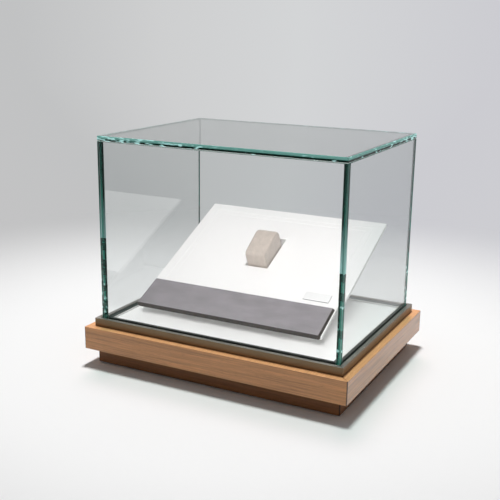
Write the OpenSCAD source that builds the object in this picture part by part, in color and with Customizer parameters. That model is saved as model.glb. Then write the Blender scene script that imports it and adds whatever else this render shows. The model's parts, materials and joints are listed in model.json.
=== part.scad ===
// Countertop display case. A five-pane glass bonnet lifts off a metal channel frame on a
// two-tier wooden base. Inside, a sloped ramp stands on a white deck and carries a soft
// display cushion in a well, a dark front band and a plain label plate.
// Millimetres, +Z up. The origin is the middle of the footprint, on the surface that the
// case stands on. The front faces -Y and the right side +X.

/* [Glass bonnet] */
// Outside width of the bonnet
bonnet_w = 400; // [360:5:600]
// Outside depth of the bonnet
bonnet_d = 300; // [260:5:400]
// Height of the bonnet, from its seat in the channel to its top
bonnet_h = 295; // [250:5:400]
// Thickness of every pane
glass_t = 8; // [5:0.5:10]

/* [Plinth] */
// How far the plinth reaches beyond the glass on each side
plinth_overhang = 5; // [0:1:15]
// Height of the plinth rails
plinth_h = 24; // [18:1:50]
// Thickness of the plinth rails
plinth_t = 18; // [12:1:25]
// Side of the square blocks glued into the plinth's corners
block_side = 40; // [36:1:60]
// Radius of the foot pads
foot_r = 11; // [6:0.5:12]
// Thickness of the foot pads
foot_t = 2; // [1:0.5:6]
// Distance from the plinth's inner faces to a foot pad's middle
foot_inset = 13; // [12:0.5:16]

/* [Base slab] */
// How far the slab reaches beyond the glass on each side
base_overhang = 20; // [14:1:30]
// Height of the slab
base_h = 36; // [30:1:60]
// Width of each mitred rail of the slab
base_rail_w = 60; // [55:1:80]
// Chamfer along the slab's outer edges
base_chamfer = 0.8; // [0.3:0.1:3]
// Thickness of the core panel inside the rails
core_t = 18; // [12:1:24]
// Thickness of the core's tongue
tongue_t = 6; // [4:0.5:8]
// Length of the core's tongue
tongue_l = 8; // [5:0.5:12]
// Thickness of the loose splines across the mitres
spline_t = 4; // [3:0.5:5]
// Width of the loose splines
spline_w = 20; // [14:1:26]
// Length of the loose splines, across the mitre
spline_l = 28; // [20:1:40]

/* [Metal frame] */
// Height of the frame above the slab
frame_h = 13; // [12:0.5:20]
// Thickness of the frame's outer wall
frame_outer_t = 6.3; // [4:0.1:9]
// Thickness of the frame's inner wall
frame_inner_t = 3; // [2:0.5:5]
// Thickness of the frame's floor
frame_floor_t = 2; // [1.8:0.1:4]
// Chamfer along the frame's top outer edge
frame_chamfer = 0.6; // [0.2:0.1:1.5]

/* [Gasket] */
// Thickness of the rubber under and beside the glass
gasket_t = 1.5; // [1:0.1:3]
// Thickness of the rubber flange over the frame's inner wall
gasket_flange_t = 1; // [0.6:0.1:2]
// How far the gasket's outer lip stays below the frame's top
gasket_drop = 0.6; // [0.2:0.1:1.5]
// Gap between the glass and the rubber beside it
glass_gap = 0.2; // [0.1:0.05:0.5]

/* [Deck] */
// Thickness of the deck panel
deck_t = 9; // [6:0.5:11]
// Gap between the deck panel and the frame
deck_gap = 0.4; // [0.2:0.1:1]

/* [Ramp] */
// Slope of the ramp, in degrees
ramp_slope = 25; // [20:1:30]
// Distance from the front pane to the ramp's front edge
ramp_front_gap = 30.5; // [20:0.5:50]
// Distance from the ramp's top edge to the back pane
ramp_back_gap = 4; // [3:0.5:20]
// Distance from each end of the ramp to the side panes
ramp_side_gap = 34.5; // [20:0.5:50]
// Height of the ramp's front edge above the deck
lip_gap = 20.5; // [10:0.5:30]
// Thickness of the ramp's board
board_t = 5; // [4:0.5:8]
// Radius of the board's corners
board_corner_r = 2; // [1:0.5:5]
// Distance from the board's edge to the outer border groove
border_inset = 16; // [10:1:20]
// Distance between the two border grooves
border_step = 9.5; // [5:0.5:12]
// Width of the border grooves
border_w = 1.4; // [0.6:0.1:2]
// Depth of the border grooves
border_depth = 0.4; // [0.2:0.1:0.8]

/* [Front band] */
// Length of the front band along the slope
band_len = 57.5; // [40:0.5:70]
// Thickness of the front band
band_t = 4; // [2:0.5:6]
// Thickness of the skirt in front of the board's edge
band_skirt_t = 1.5; // [1:0.1:3]
// Distance from the ends of the board to the band's ends
band_inset = 1.5; // [0.5:0.5:5]
// Chamfer along the band's top edges
band_chamfer = 1; // [0.3:0.1:1.5]

/* [Label plate] */
// Width of the label plate
label_w = 42; // [30:1:60]
// Length of the label plate along the slope
label_l = 17; // [12:1:22]
// Thickness of the label plate
label_t = 1.2; // [0.6:0.1:3]
// Radius of the label plate's corners
label_corner_r = 1; // [0.5:0.5:3]
// Distance from the label plate to the right end of the board
label_side = 16.5; // [8:0.5:30]
// Distance from the front band to the label plate
label_up = 12; // [8:1:20]

/* [Cushion well] */
// Width of the well
well_w = 40; // [34:1:60]
// Length of the well along the slope
well_l = 77; // [70:1:90]
// Depth of the tray below the board
well_depth = 12; // [8:1:16]
// Offset of the well from the middle, to the right
well_x = -5; // [-20:1:20]
// How far the well's middle lies below the middle of the white field
well_low = 2.5; // [0:0.5:10]
// Thickness of the tray's walls and floor
tray_t = 2; // [1.5:0.5:3]
// Width of the tray's flange under the board
tray_flange = 8; // [5:1:12]

/* [Display cushion] */
// Length of the cushion along the slope
cushion_l = 63.5; // [50:0.5:66]
// Height of the cushion above the board at its front
cushion_front_h = 26; // [18:1:32]
// Height of the cushion above the board at its back
cushion_back_h = 36; // [30:1:44]
// Radius of the cushion's top front edge
cushion_front_r = 10; // [6:0.5:14]
// Radius of the cushion's top back edge
cushion_back_r = 15; // [8:0.5:20]
// Radius of the cushion's bottom edges
cushion_foot_r = 5; // [4.5:0.5:8]
// How far the cushion's sides draw in at their rims
cushion_shoulder = 3.6; // [2:0.2:4]
// How far the cushion's faces swell out at their middles
cushion_crown = 1.2; // [0.4:0.1:1.5]
// Gap between the cushion and the well
cushion_gap = 0.4; // [0.3:0.1:1]

/* [Ramp supports] */
// Thickness of the brackets and the tie rail
bracket_t = 9; // [6:0.5:15]
// Distance from the ends of the board to the brackets
bracket_inset = 76; // [60:1:85]
// Distance from the ramp's front edge to the brackets' front
bracket_front = 72; // [50:1:90]
// Distance from the ramp's top edge to the brackets' back
bracket_back = 15; // [8:1:40]
// Thickness of the felt pads under the brackets
pad_t = 1; // [0.5:0.5:3]
// Length of the felt pads under the brackets
pad_l = 22; // [15:1:40]
// Side of the square cleats under the board
cleat_side = 12; // [10:1:16]
// Length of the cleats along the slope
cleat_l = 120; // [90:1:150]
// Height of the tie rail
tie_h = 50; // [35:1:80]

/* [Screws] */
// Radius of the long screws' shanks
long_screw_r = 2; // [1.5:0.25:2.5]
// Depth of the plinth screws in the slab
plinth_screw_bite = 16; // [8:1:20]
// Depth of the tie rail screws in the rail
tie_screw_bite = 28; // [15:1:40]
// Radius of the long screws' heads
long_head_r = 4; // [3.5:0.25:5]
// Height of the long screws' heads
long_head_h = 2.5; // [2:0.25:3.5]
// Gap around the long screws' heads
long_head_gap = 0.5; // [0.2:0.1:1]
// Depth of the plinth screws' counterbores in the corner blocks
plinth_bore_depth = 6; // [4:0.5:8]
// Depth of the tie rail screws' counterbores in the brackets
tie_bore_depth = 3; // [2.5:0.25:4]
// Radius of the frame screws' shanks
frame_screw_r = 1.4; // [1:0.1:1.8]
// Length of the frame screws
frame_screw_l = 16; // [10:1:22]
// Radius of the frame screws' countersunk heads
frame_head_r = 2.8; // [2.4:0.1:3.5]
// Height of the frame screws' countersunk heads
frame_head_h = 1.6; // [1.2:0.1:1.8]
// Distance from the frame's corners to the nearest screw
frame_screw_end = 34; // [28:1:60]
// Number of frame screws along the front and back
frame_screws_long = 4; // [2:1:8]
// Number of frame screws along each side
frame_screws_short = 3; // [2:1:6]
// Radius of the cleat screws' shanks
cleat_screw_r = 1.5; // [1:0.1:2]
// Depth of the cleat screws in the board and brackets
cleat_screw_bite = 3; // [2:0.5:3.5]
// Radius of the cleat screws' heads
cleat_head_r = 2.8; // [2.4:0.1:3.5]
// Height of the cleat screws' heads
cleat_head_h = 1.8; // [1:0.1:2.5]

/* [Hidden] */
$fn = 48;

// Sides of the case, in the order of the quarter turns that carry a front piece to them
SIDES = ["front", "right", "back", "left"];
CORNERS = [[-1, -1], [1, -1], [1, 1], [-1, 1]];
// Overreach of a cutting shape beyond the face it cuts
over = 1;

wood = [0.72, 0.52, 0.36];
wood_dark = [0.52, 0.36, 0.25];
plywood = [0.80, 0.68, 0.50];
bronze = [0.42, 0.39, 0.35];
rubber = [0.13, 0.14, 0.14];
white = [0.95, 0.95, 0.94];
glass_green = [0.65, 0.82, 0.77, 0.4];
taupe = [0.58, 0.55, 0.56];
ivory = [0.86, 0.82, 0.75];
steel = [0.62, 0.62, 0.63];
felt = [0.25, 0.25, 0.26];

// Heights of the stacked parts
plinth_z = foot_t;
base_z = plinth_z + plinth_h;
frame_z = base_z + base_h;
frame_top = frame_z + frame_h;
channel_z = frame_z + frame_floor_t;
glass_z = channel_z + gasket_t;
deck_z = frame_z + deck_t;
glass_top_z = glass_z + bonnet_h - glass_t;
plinth_shank = plinth_h - plinth_bore_depth + plinth_screw_bite;

// Half sizes of the rings, to their outer faces
plinth_half = [bonnet_w / 2 + plinth_overhang, bonnet_d / 2 + plinth_overhang];
base_half = [bonnet_w / 2 + base_overhang, bonnet_d / 2 + base_overhang];
frame_reach = glass_gap + gasket_t + frame_outer_t;
frame_half = [bonnet_w / 2 + frame_reach, bonnet_d / 2 + frame_reach];
channel_w = glass_t + 2 * (glass_gap + gasket_t);
frame_w = frame_outer_t + channel_w + frame_inner_t;
gasket_half = [frame_half[0] - frame_outer_t, frame_half[1] - frame_outer_t];
inner_half = [bonnet_w / 2 - glass_t, bonnet_d / 2 - glass_t];

// The ramp's own frame starts under the front edge of its board
ramp_y = -inner_half[1] + ramp_front_gap + band_skirt_t;
ramp_z = deck_z + lip_gap;
board_w = 2 * (inner_half[0] - ramp_side_gap);
board_top_y = inner_half[1] - ramp_back_gap;
board_len = (board_top_y - ramp_y) / cos(ramp_slope);
field_mid = (band_len + board_len) / 2;
well_mid = field_mid - well_low;
well_front = well_mid - well_l / 2;
cushion_w = well_w - 2 * cushion_gap;
cushion_base = -well_depth + cushion_gap + cushion_crown;
cushion_start = well_front + cushion_gap + cushion_crown;

// The supports under the ramp
pads_z = deck_z;
bracket_z = pads_z + pad_t;
bracket_y0 = ramp_y + bracket_front;
bracket_y1 = board_top_y - bracket_back;
bracket_x = board_w / 2 - bracket_inset;
bracket_slope_0 = bracket_front / cos(ramp_slope);
cleat_start = bracket_slope_0 + (bracket_y1 - bracket_y0) / cos(ramp_slope) / 2 - cleat_l / 2;
cleat_screw_end = cleat_l / 6;
tie_y = bracket_y1 - bracket_t;
tie_z = bracket_z + tie_h / 4;
tie_w = 2 * (bracket_x - bracket_t);
tie_shank = bracket_t - tie_bore_depth + tie_screw_bite;

// Height of the board's underside above y
function under_board(y) = ramp_z + (y - ramp_y) * tan(ramp_slope);

// Whether a side runs along the case's width, and its quarter turns from the front
function is_long(side) = side == "front" || side == "back";
function turn_of(side) = 90 * search([side], SIDES)[0];

// Half length and outer half depth of one side of a ring
function side_len(half, side) = is_long(side) ? half[0] : half[1];
function side_off(half, side) = is_long(side) ? half[1] : half[0];

// One mitred side of a rectangular ring. The child is the side's outline, drawn as
// distance inward from the ring's outer face and height.
module mitred_side(half, side, width, z0, z1) {
    len = side_len(half, side);
    rotate([0, 0, turn_of(side)]) translate([0, -side_off(half, side), 0])
        intersection() {
            rotate([90, 0, 90]) linear_extrude(height = 2 * len, center = true) children();
            translate([0, 0, z0 - over]) linear_extrude(height = z1 - z0 + 2 * over)
                polygon([[-len, 0], [len, 0], [len - width, width], [width - len, width]]);
        }
}

// A flat plate with rounded corners, from the middle of its front edge
module rounded_plate(w, l, t, r) {
    linear_extrude(height = t) {
        translate([-w / 2 + r, 0]) square([w - 2 * r, l]);
        translate([-w / 2, r]) square([w, l - 2 * r]);
        for (x = [r - w / 2, w / 2 - r], y = [r, l - r]) translate([x, y]) circle(r = r);
    }
}

// A screw of the given shank length. It points up from the underside of its flat head.
module long_screw(shank) {
    translate([0, 0, -long_head_h]) cylinder(r = long_head_r, h = long_head_h);
    cylinder(r = long_screw_r, h = shank);
}

// What a long screw takes out of the pieces that it joins, with its counterbore
module long_screw_hole(shank, bore_depth) {
    translate([0, 0, -bore_depth - over]) cylinder(r = long_head_r + long_head_gap, h = bore_depth + over);
    cylinder(r = long_screw_r, h = shank);
}

// Two screws in each corner block, one for each rail that the block joins
module at_plinth_screws() {
    in_x = plinth_half[0] - plinth_t;
    in_y = plinth_half[1] - plinth_t;
    for (c = CORNERS, near = [block_side / 4, block_side * 3 / 4])
        translate([c[0] * (in_x - near), c[1] * (in_y - block_side + near), plinth_z + plinth_bore_depth])
            children();
}

// Countersunk screws along the middle of the channel
module at_frame_screws() {
    for (side = SIDES) {
        len = side_len(frame_half, side) - frame_screw_end;
        count = is_long(side) ? frame_screws_long : frame_screws_short;
        off = side_off(frame_half, side) - frame_outer_t - channel_w / 2;
        rotate([0, 0, turn_of(side)])
            for (i = [0:count - 1])
                translate([-len + 2 * len * i / (count - 1), -off, channel_z]) children();
    }
}

module frame_screw() {
    translate([0, 0, -frame_head_h]) cylinder(r1 = frame_screw_r, r2 = frame_head_r, h = frame_head_h);
    translate([0, 0, -frame_screw_l]) cylinder(r = frame_screw_r, h = frame_screw_l - frame_head_h);
}

// Foot pads under the corner blocks
module foot_pads() {
    color(felt)
        for (c = CORNERS)
            translate([
                c[0] * (plinth_half[0] - plinth_t - foot_inset),
                c[1] * (plinth_half[1] - plinth_t - foot_inset),
                0
            ]) cylinder(r = foot_r, h = foot_t);
}

module plinth_rail(side) {
    color(wood_dark)
        mitred_side(plinth_half, side, plinth_t, plinth_z, base_z)
            translate([0, plinth_z]) square([plinth_t, plinth_h]);
}

module plinth_corner_blocks() {
    color(plywood)
        difference() {
            for (c = CORNERS)
                translate([
                    c[0] * (plinth_half[0] - plinth_t - block_side / 2),
                    c[1] * (plinth_half[1] - plinth_t - block_side / 2),
                    plinth_z + plinth_h / 2
                ]) cube([block_side, block_side, plinth_h], center = true);
            at_plinth_screws() long_screw_hole(plinth_shank, plinth_bore_depth);
        }
}

module plinth_screws() {
    color(steel) at_plinth_screws() long_screw(plinth_shank);
}

// Outline of a slab rail, with the groove that takes the core's tongue
module base_rail_outline() {
    c = base_chamfer;
    groove_z = frame_z - core_t / 2 - tongue_t / 2;
    difference() {
        polygon([
            [c, base_z], [base_rail_w, base_z], [base_rail_w, frame_z],
            [c, frame_z], [0, frame_z - c], [0, base_z + c]
        ]);
        translate([base_rail_w - tongue_l, groove_z]) square([tongue_l + over, tongue_t]);
    }
}

// Loose splines across the slab's mitres
module at_mitres() {
    for (c = CORNERS)
        translate([c[0] * (base_half[0] - base_rail_w / 2), c[1] * (base_half[1] - base_rail_w / 2), 0])
            rotate([0, 0, 45 * c[0] * c[1]])
                translate([0, 0, base_z + base_h / 4]) children();
}

module spline_plate() {
    cube([spline_w, spline_l, spline_t], center = true);
}

module base_rail(side) {
    color(wood)
        difference() {
            mitred_side(base_half, side, base_rail_w, base_z, frame_z) base_rail_outline();
            at_mitres() spline_plate();
            at_plinth_screws() long_screw_hole(plinth_shank, plinth_bore_depth);
            at_frame_screws() frame_screw();
        }
}

module base_splines() {
    color(plywood) at_mitres() spline_plate();
}

// Core panel with a tongue all round it
module base_core() {
    core = 2 * [base_half[0] - base_rail_w, base_half[1] - base_rail_w];
    color(plywood)
        translate([0, 0, frame_z - core_t / 2]) {
            cube([core[0], core[1], core_t], center = true);
            cube([core[0] + 2 * tongue_l, core[1] + 2 * tongue_l, tongue_t], center = true);
        }
}

// Outline of the frame: a channel with a thick outer wall and a thin inner wall
module frame_outline() {
    c = frame_chamfer;
    inner_top = frame_top - gasket_flange_t;
    polygon([
        [0, frame_z], [frame_w, frame_z], [frame_w, inner_top],
        [frame_w - frame_inner_t, inner_top], [frame_w - frame_inner_t, channel_z],
        [frame_outer_t, channel_z], [frame_outer_t, frame_top],
        [c, frame_top], [0, frame_top - c]
    ]);
}

module frame_rail(side) {
    color(bronze)
        difference() {
            mitred_side(frame_half, side, frame_w, frame_z, frame_top) frame_outline();
            at_frame_screws() frame_screw();
        }
}

module frame_screws() {
    color(steel) at_frame_screws() frame_screw();
}

// Outline of the gasket: a rubber channel with a flange over the frame's inner wall
module gasket_outline() {
    slot_in = gasket_t + 2 * glass_gap + glass_t;
    flange_z = frame_top - gasket_flange_t;
    polygon([
        [0, channel_z], [channel_w, channel_z], [channel_w, flange_z],
        [channel_w + frame_inner_t, flange_z], [channel_w + frame_inner_t, frame_top],
        [slot_in, frame_top], [slot_in, glass_z],
        [gasket_t, glass_z], [gasket_t, frame_top - gasket_drop], [0, frame_top - gasket_drop]
    ]);
}

module gasket(side) {
    color(rubber)
        mitred_side(gasket_half, side, channel_w + frame_inner_t, channel_z, frame_top) gasket_outline();
}

module deck_panel() {
    deck = [frame_half[0] - frame_w - deck_gap, frame_half[1] - frame_w - deck_gap];
    color(white)
        translate([-deck[0], -deck[1], frame_z]) cube([2 * deck[0], 2 * deck[1], deck_t]);
}

// Front and back panes run the full width, and the top covers all four
module glass_front() {
    color(glass_green)
        translate([-bonnet_w / 2, -bonnet_d / 2, glass_z])
            cube([bonnet_w, glass_t, bonnet_h - glass_t]);
}

module glass_back() {
    mirror([0, 1, 0]) glass_front();
}

module glass_right() {
    color(glass_green)
        translate([inner_half[0], -inner_half[1], glass_z])
            cube([glass_t, 2 * inner_half[1], bonnet_h - glass_t]);
}

module glass_left() {
    mirror([1, 0, 0]) glass_right();
}

module glass_top() {
    color(glass_green)
        translate([-bonnet_w / 2, -bonnet_d / 2, glass_top_z]) cube([bonnet_w, bonnet_d, glass_t]);
}

// Carries a shape drawn flat onto the ramp: X along its width, Y up its slope, and Z
// out of it, from the underside of the board's front edge
module on_ramp() {
    translate([0, ramp_y, ramp_z]) rotate([ramp_slope, 0, 0]) children();
}

// One groove along the left, top and right of the board. Its ends run under the front band.
module border_groove(inset) {
    w = board_w - 2 * inset;
    l = board_len - inset;
    translate([0, 0, board_t - border_depth])
        difference() {
            translate([-w / 2, band_len / 2, 0]) cube([w, l - band_len / 2, board_t]);
            translate([-w / 2 + border_w, 0, -over])
                cube([w - 2 * border_w, l - border_w, board_t + 2 * over]);
        }
}

module ramp_board() {
    color(white)
        difference() {
            on_ramp()
                difference() {
                    rounded_plate(board_w, board_len, board_t, board_corner_r);
                    translate([well_x - well_w / 2, well_front, -over])
                        cube([well_w, well_l, board_t + 2 * over]);
                    border_groove(border_inset);
                    border_groove(border_inset + border_step);
                }
            at_board_screws() cleat_screw();
        }
}

// Front band: a plate on the board with a skirt over the board's front edge
module front_band() {
    w = board_w - 2 * band_inset;
    c = band_chamfer;
    top = board_t + band_t;
    s = band_skirt_t;
    color(taupe)
        on_ramp() intersection() {
            rotate([90, 0, 90]) linear_extrude(height = w, center = true)
                polygon([
                    [-s, 0], [0, 0], [0, board_t], [band_len, board_t],
                    [band_len, top - c], [band_len - c, top], [c - s, top], [-s, top - c]
                ]);
            translate([0, band_len + over, 0]) rotate([90, 0, 0])
                linear_extrude(height = band_len + s + 2 * over)
                    polygon([
                        [-w / 2, 0], [w / 2, 0], [w / 2, top - c],
                        [w / 2 - c, top], [c - w / 2, top], [-w / 2, top - c]
                    ]);
        }
}

module label_plate() {
    color(white)
        on_ramp()
            translate([board_w / 2 - label_side - label_w / 2, band_len + label_up, board_t])
                rounded_plate(label_w, label_l, label_t, label_corner_r);
}

// Open-topped tray under the well, with a flange against the board
module cushion_tray() {
    t = tray_t;
    f = tray_t + tray_flange;
    color(white)
        on_ramp() translate([well_x, well_front, 0]) difference() {
            union() {
                translate([-well_w / 2 - t, -t, -well_depth - t])
                    cube([well_w + 2 * t, well_l + 2 * t, well_depth + t]);
                translate([-well_w / 2 - f, -f, -t]) cube([well_w + 2 * f, well_l + 2 * f, t]);
            }
            translate([-well_w / 2, 0, -well_depth]) cube([well_w, well_l, well_depth + over]);
        }
}

// Points of an arc from angle a to angle b about c
function arc(c, r, a, b, n) = [for (i = [0:n]) c + r * [cos(a + (b - a) * i / n), sin(a + (b - a) * i / n)]];

// Middle of an arc that touches the cushion's top line, at x from the front
function under_top(x, r, tilt, front_h) = [x, front_h + (sin(tilt) * x - r) / cos(tilt)];

// Side outline of the cushion, drawn in by e: bottom front, bottom back, top back, top front
function cushion_outline(e) =
    let(
        foot = cushion_foot_r,
        front_h = board_t + cushion_front_h - cushion_base,
        back_h = board_t + cushion_back_h - cushion_base,
        tilt = atan((back_h - front_h) / cushion_l),
        back = under_top(cushion_l - cushion_back_r, cushion_back_r, tilt, front_h),
        front = under_top(cushion_front_r, cushion_front_r, tilt, front_h)
    )
    concat(
        arc([foot, foot], foot - e, 180, 270, 5),
        arc([cushion_l - foot, foot], foot - e, 270, 360, 5),
        arc(back, cushion_back_r - e, 0, 90 + tilt, 9),
        arc(front, cushion_front_r - e, 90 + tilt, 180, 7)
    );

// The cushion's cross rings as [x, draw-in, shrink]: a crowned barrel, a round shoulder,
// and an end face that swells to its middle
function cushion_rings() =
    let(
        rim = cushion_w / 2 - cushion_crown,
        barrel = rim - cushion_shoulder,
        half = concat(
            [for (i = [0:3]) let(t = i / 4) [barrel * t, -cushion_crown * (1 - t * t), 1]],
            [for (i = [0:4]) let(a = 90 * i / 4)
                [barrel + cushion_shoulder * sin(a), cushion_shoulder * (1 - cos(a)), 1]],
            [for (i = [1:3]) let(s = 1 - i / 4) [rim + cushion_crown * (1 - s * s), cushion_shoulder, s]]
        ),
        last = len(half) - 1
    )
    concat([for (i = [last:-1:1]) [-half[i][0], half[i][1], half[i][2]]], half);

module display_cushion() {
    rings = cushion_rings();
    middle = [cushion_l / 2, (cushion_front_h + cushion_back_h) / 4 + well_depth / 2];
    outlines = [for (r = rings) [for (p = cushion_outline(r[1])) middle + r[2] * (p - middle)]];
    n = len(outlines[0]);
    m = len(rings);
    points = concat(
        [for (j = [0:m - 1], i = [0:n - 1]) [rings[j][0], outlines[j][i][0], outlines[j][i][1]]],
        [[-cushion_w / 2, middle[0], middle[1]], [cushion_w / 2, middle[0], middle[1]]]
    );
    walls = [for (j = [0:m - 2], i = [0:n - 1], k = [0, 1])
        let(a = j * n + i, b = j * n + (i + 1) % n)
            k == 0 ? [a, b, b + n] : [a, b + n, a + n]];
    ends = concat(
        [for (i = [0:n - 1]) [m * n, (i + 1) % n, i]],
        [for (i = [0:n - 1]) [m * n + 1, (m - 1) * n + i, (m - 1) * n + (i + 1) % n]]
    );
    color(ivory)
        on_ramp() translate([well_x, cushion_start, cushion_base])
            polyhedron(points = points, faces = concat(walls, ends), convexity = 4);
}

// Wedge-shaped side bracket that carries the board
module ramp_bracket(side) {
    color(white)
        difference() {
            translate([side * (bracket_x - bracket_t / 2), 0, 0])
                rotate([90, 0, 90]) linear_extrude(height = bracket_t, center = true)
                    polygon([
                        [bracket_y0, bracket_z], [bracket_y1, bracket_z],
                        [bracket_y1, under_board(bracket_y1)], [bracket_y0, under_board(bracket_y0)]
                    ]);
            at_bracket_screws() cleat_screw();
            at_tie_screws() long_screw_hole(tie_shank, tie_bore_depth);
        }
}

// A cleat screw runs through the cleat and bites into what the cleat is fixed to
module cleat_screw() {
    translate([0, 0, -cleat_head_h]) cylinder(r = cleat_head_r, h = cleat_head_h);
    cylinder(r = cleat_screw_r, h = cleat_side + cleat_screw_bite);
}

// Screws up through the cleats into the board
module at_board_screws() {
    on_ramp() for (side = [-1, 1], v = [cleat_screw_end, cleat_l - cleat_screw_end])
        translate([side * (bracket_x - bracket_t - cleat_side / 2), cleat_start + v, -cleat_side])
            children();
}

// Screws sideways through the cleats into the brackets
module at_bracket_screws() {
    on_ramp() for (side = [-1, 1], v = [2 * cleat_screw_end, cleat_l - 2 * cleat_screw_end])
        translate([side * (bracket_x - bracket_t - cleat_side), cleat_start + v, -cleat_side / 2])
            rotate([0, side * 90, 0]) children();
}

module ramp_cleats() {
    color(plywood)
        difference() {
            on_ramp() for (side = [-1, 1])
                translate([
                    side * (bracket_x - bracket_t - cleat_side / 2),
                    cleat_start + cleat_l / 2,
                    -cleat_side / 2
                ]) cube([cleat_side, cleat_l, cleat_side], center = true);
            at_board_screws() cleat_screw();
            at_bracket_screws() cleat_screw();
        }
}

module cleat_screws() {
    color(steel) {
        at_board_screws() cleat_screw();
        at_bracket_screws() cleat_screw();
    }
}

// Screws through the brackets into the ends of the tie rail
module at_tie_screws() {
    for (side = [-1, 1], h = [tie_h / 4, tie_h * 3 / 4])
        translate([side * (bracket_x - tie_bore_depth), tie_y + bracket_t / 2, tie_z + h])
            rotate([0, -side * 90, 0]) children();
}

module ramp_tie_rail() {
    color(white)
        difference() {
            translate([-tie_w / 2, tie_y, tie_z]) cube([tie_w, bracket_t, tie_h]);
            at_tie_screws() long_screw_hole(tie_shank, tie_bore_depth);
        }
}

module tie_rail_screws() {
    color(steel) at_tie_screws() long_screw(tie_shank);
}

// Felt pads under both ends of each bracket
module ramp_pads() {
    color(felt)
        for (side = [-1, 1], y = [bracket_y0, bracket_y1 - pad_l])
            translate([side * (bracket_x - bracket_t / 2) - bracket_t / 2, y, pads_z])
                cube([bracket_t, pad_l, pad_t]);
}

foot_pads();
plinth_rail("front");  // plinth_rail_front
plinth_rail("right");  // plinth_rail_right
plinth_rail("back");  // plinth_rail_back
plinth_rail("left");  // plinth_rail_left
plinth_corner_blocks();
plinth_screws();
base_rail("front");  // base_rail_front
base_rail("right");  // base_rail_right
base_rail("back");  // base_rail_back
base_rail("left");  // base_rail_left
base_splines();
base_core();
frame_rail("front");  // frame_rail_front
frame_rail("right");  // frame_rail_right
frame_rail("back");  // frame_rail_back
frame_rail("left");  // frame_rail_left
frame_screws();
gasket("front");  // gasket_front
gasket("right");  // gasket_right
gasket("back");  // gasket_back
gasket("left");  // gasket_left
deck_panel();
glass_front();
glass_right();
glass_back();
glass_left();
glass_top();
ramp_board();
front_band();
label_plate();
cushion_tray();
display_cushion();
ramp_bracket(-1);  // ramp_bracket_left
ramp_bracket(1);  // ramp_bracket_right
ramp_cleats();
cleat_screws();
ramp_tie_rail();
tie_rail_screws();
ramp_pads();
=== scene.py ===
"""Dresses the countertop display case: surfaces, finishes, soft studio light and a camera.

Metres, +Z up. The front faces -Y and the right side +X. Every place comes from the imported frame.
"""
import json
import math

import bmesh
import bpy
import numpy as np
from bpy.props import FloatProperty, FloatVectorProperty, PointerProperty
from mathutils import Matrix, Vector

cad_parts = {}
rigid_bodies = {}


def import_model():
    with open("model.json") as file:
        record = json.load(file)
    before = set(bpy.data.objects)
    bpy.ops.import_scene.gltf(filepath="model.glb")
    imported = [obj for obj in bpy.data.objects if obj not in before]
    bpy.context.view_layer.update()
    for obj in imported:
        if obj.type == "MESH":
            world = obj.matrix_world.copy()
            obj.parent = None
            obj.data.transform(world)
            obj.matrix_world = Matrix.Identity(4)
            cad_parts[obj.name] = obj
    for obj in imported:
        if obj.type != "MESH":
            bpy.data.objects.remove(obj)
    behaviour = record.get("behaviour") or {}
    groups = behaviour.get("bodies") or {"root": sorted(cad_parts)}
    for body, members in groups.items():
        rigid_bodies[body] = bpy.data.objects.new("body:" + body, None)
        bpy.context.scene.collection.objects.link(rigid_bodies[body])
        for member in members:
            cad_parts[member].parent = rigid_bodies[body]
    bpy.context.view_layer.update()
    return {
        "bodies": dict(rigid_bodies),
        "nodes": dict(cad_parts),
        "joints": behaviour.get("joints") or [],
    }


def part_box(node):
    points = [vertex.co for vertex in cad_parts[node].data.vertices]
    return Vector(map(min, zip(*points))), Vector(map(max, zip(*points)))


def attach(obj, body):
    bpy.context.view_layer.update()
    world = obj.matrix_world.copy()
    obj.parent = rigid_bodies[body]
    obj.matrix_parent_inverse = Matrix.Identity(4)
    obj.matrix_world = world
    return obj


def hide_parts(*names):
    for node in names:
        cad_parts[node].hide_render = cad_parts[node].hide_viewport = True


bl_info = {
    "name": "Countertop display case",
    "version": (1, 0, 0),
    "blender": (4, 5, 0),
    "location": "3D View > Sidebar > Case",
    "description": "Builds a glass display case with a wooden base, a sloped ramp and a cushion",
    "category": "Object",
}

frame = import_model()
MM = 0.001
SIDES = ("front", "right", "back", "left")
BASE_BODY, BONNET_BODY, RAMP_BODY, CUSHION_BODY = "base", "bonnet", "ramp", "cushion"


# Sizes and colours that a user may change

def size(name, description, default):
    """A length property in metres."""
    return FloatProperty(name=name, description=description, default=default, min=0.0,
                         unit="LENGTH", subtype="DISTANCE", precision=5)


def colour(name, description, default):
    """A colour property, in linear values."""
    return FloatVectorProperty(name=name, description=description, default=default, size=3,
                               min=0.0, max=1.0, subtype="COLOR")


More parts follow.
